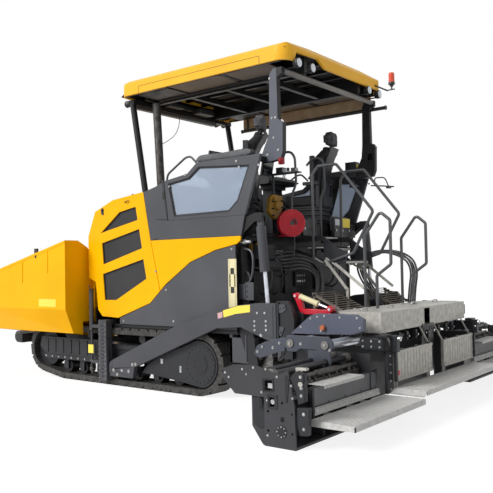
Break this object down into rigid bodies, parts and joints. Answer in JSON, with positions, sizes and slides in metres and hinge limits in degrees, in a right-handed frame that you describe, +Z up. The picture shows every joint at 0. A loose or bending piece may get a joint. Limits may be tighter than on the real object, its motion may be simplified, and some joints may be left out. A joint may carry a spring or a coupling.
{
  "type": "tracked asphalt paver",
  "caption": "Tracked road paving machine with a front hopper, covered operator platform and an extending rear screed",
  "frame": {"origin": "On the ground, under the middle of the overall box", "axes": "+X forward to the hopper, +Y to the machine left, +Z up"},
  "size_m": [6.9, 5.21, 4.06],
  "materials": {
    "track_steel": "worn dark steel shoes",
    "frame_black": "satin near-black paint",
    "engine_iron": "dark cast iron",
    "chain_steel": "worn steel slats",
    "paint_yellow": "semi-gloss amber yellow paint",
    "paint_dark": "semi-gloss dark grey paint",
    "window_glass": "grey tinted pane",
    "cap_rubber": "soft grey pad",
    "seat_plastic": "black moulded plastic",
    "seat_fabric": "black woven upholstery",
    "console_plastic": "dark moulded plastic",
    "panel_plastic": "light grey moulded panel",
    "roof_plastic": "amber moulded shell",
    "awning_fabric": "beige rolled awning",
    "lamp_plastic": "black lamp with clear front",
    "beacon_plastic": "orange-red dome",
    "bare_steel": "bare steel",
    "chrome_rod": "polished hard chrome",
    "rail_paint": "dark grey paint",
    "reel_red": "gloss red paint",
    "auger_steel": "worn cast flights",
    "cover_aluminium": "ribbed bare sheet",
    "tread_aluminium": "chequer plate"
  },
  "bodies": {
    "root": {"track_left": "track_steel", "track_right": "track_steel", "track_frame_left": "frame_black", "track_frame_right": "frame_black", "main_frame": "frame_black", "engine_block": "engine_iron", "conveyors": "chain_steel", "hood": "paint_yellow", "cowl": "paint_dark", "side_panels": "paint_yellow", "lower_panels": "paint_dark", "cab_sides": "paint_dark", "cab_glass": "window_glass", "cab_caps": "cap_rubber", "platform": "frame_black", "steps": "frame_black", "seat_bases": "seat_plastic", "seat_cushions": "seat_fabric", "consoles": "console_plastic", "rear_panel": "panel_plastic", "canopy_frame": "frame_black", "canopy_roof": "roof_plastic", "awnings": "awning_fabric", "lamps": "lamp_plastic", "beacon": "beacon_plastic", "exhaust_stack": "bare_steel", "hopper_floor": "paint_dark", "push_beam": "frame_black", "tow_rails": "paint_dark", "rear_frame": "frame_black", "platform_rails": "rail_paint", "hose_reel": "reel_red", "pumps": "engine_iron", "auger_frame": "frame_black"},
    "hopper_wing_left": {"hopper_wing_left": "paint_yellow"},
    "hopper_wing_right": {"hopper_wing_right": "paint_yellow"},
    "door_left": {"door_left": "paint_yellow"},
    "door_right": {"door_right": "paint_yellow"},
    "push_roller_left": {"push_roller_left": "bare_steel"},
    "push_roller_right": {"push_roller_right": "bare_steel"},
    "tow_points": {"tow_blocks": "bare_steel"},
    "screed": {"tow_arms": "paint_dark", "screed_base": "paint_dark", "screed_covers": "cover_aluminium", "screed_walkway": "tread_aluminium", "screed_rails": "rail_paint"},
    "extension_left": {"extension_left": "paint_dark", "extension_walkway_left": "tread_aluminium"},
    "extension_right": {"extension_right": "paint_dark", "extension_walkway_right": "tread_aluminium"},
    "yoke_left": {"yoke_left": "paint_dark", "extension_tubes_left": "chrome_rod"},
    "yoke_right": {"yoke_right": "paint_dark", "extension_tubes_right": "chrome_rod"},
    "auger_left": {"auger_left": "auger_steel"},
    "auger_right": {"auger_right": "auger_steel"},
    "lift_cylinder_left": {"lift_cylinder_left": "frame_black"},
    "lift_cylinder_right": {"lift_cylinder_right": "frame_black"},
    "lift_rod_left": {"lift_rod_left": "chrome_rod"},
    "lift_rod_right": {"lift_rod_right": "chrome_rod"}
  },
  "joints": [
    {"name": "wing_left_fold", "type": "hinge", "parent": "root", "child": "hopper_wing_left", "pos_m": [2.24, 0.74, 0.56], "axis": [1, 0, 0], "range_deg": [0, 45]},
    {"name": "door_left_open", "type": "hinge", "parent": "root", "child": "door_left", "pos_m": [1.226, 1.2325, 1.6], "axis": [0, 0, -1], "range_deg": [0, 80]},
    {"name": "push_roller_left_spin", "type": "hinge", "parent": "root", "child": "push_roller_left", "pos_m": [3.36, 0.49, 0.47], "axis": [0, 1, 0], "continuous": true},
    {"name": "wing_right_fold", "type": "hinge", "parent": "root", "child": "hopper_wing_right", "pos_m": [2.24, -0.74, 0.56], "axis": [-1, 0, 0], "range_deg": [0, 45]},
    {"name": "door_right_open", "type": "hinge", "parent": "root", "child": "door_right", "pos_m": [1.226, -1.2325, 1.6], "axis": [0, 0, 1], "range_deg": [0, 80]},
    {"name": "push_roller_right_spin", "type": "hinge", "parent": "root", "child": "push_roller_right", "pos_m": [3.36, -0.49, 0.47], "axis": [0, 1, 0], "continuous": true},
    {"name": "tow_points_rise", "type": "slide", "parent": "root", "child": "tow_points", "axis": [0, 0, 1], "range_m": [0, 0.2]},
    {"name": "screed_lift", "type": "hinge", "parent": "tow_points", "child": "screed", "pos_m": [0.7, 0, 0.23], "axis": [0, 1, 0], "range_deg": [0, 7]},
    {"name": "extension_left_in", "type": "slide", "parent": "screed", "child": "extension_left", "axis": [0, -1, 0], "range_m": [0, 1.12]},
    {"name": "yoke_left_in", "type": "slide", "parent": "screed", "child": "yoke_left", "axis": [0, -1, 0], "range_m": [0, 0.34]},
    {"name": "auger_left_spin", "type": "hinge", "parent": "root", "child": "auger_left", "pos_m": [-1.5, 0.65, 0.42], "axis": [0, 1, 0], "continuous": true},
    {"name": "lift_cylinder_left_swing", "type": "hinge", "parent": "root", "child": "lift_cylinder_left", "pos_m": [-1.605, 1.19, 2.03], "axis": [0, -1, 0], "range_deg": [0, 7.47]},
    {"name": "lift_rod_left_in", "type": "slide", "parent": "lift_cylinder_left", "child": "lift_rod_left", "axis": [0.0855, 0, 0.9963], "range_m": [0, 0.289]},
    {"name": "extension_right_in", "type": "slide", "parent": "screed", "child": "extension_right", "axis": [0, 1, 0], "range_m": [0, 1.12]},
    {"name": "yoke_right_in", "type": "slide", "parent": "screed", "child": "yoke_right", "axis": [0, 1, 0], "range_m": [0, 0.34]},
    {"name": "auger_right_spin", "type": "hinge", "parent": "root", "child": "auger_right", "pos_m": [-1.5, -0.65, 0.42], "axis": [0, 1, 0], "continuous": true},
    {"name": "lift_cylinder_right_swing", "type": "hinge", "parent": "root", "child": "lift_cylinder_right", "pos_m": [-1.605, -1.19, 2.03], "axis": [0, -1, 0], "range_deg": [0, 7.47]},
    {"name": "lift_rod_right_in", "type": "slide", "parent": "lift_cylinder_right", "child": "lift_rod_right", "axis": [0.0855, 0, 0.9963], "range_m": [0, 0.289]}
  ],
  "couplings": [
    {"joint": "yoke_left_in", "follows": "extension_left_in", "ratio": 0.3},
    {"joint": "lift_cylinder_left_swing", "follows": "screed_lift", "ratio": 1.067},
    {"joint": "lift_rod_left_in", "follows": "screed_lift", "m_per_rad": 2.3587},
    {"joint": "yoke_right_in", "follows": "extension_right_in", "ratio": 0.3},
    {"joint": "lift_cylinder_right_swing", "follows": "screed_lift", "ratio": 1.067},
    {"joint": "lift_rod_right_in", "follows": "screed_lift", "m_per_rad": 2.3587}
  ]
}
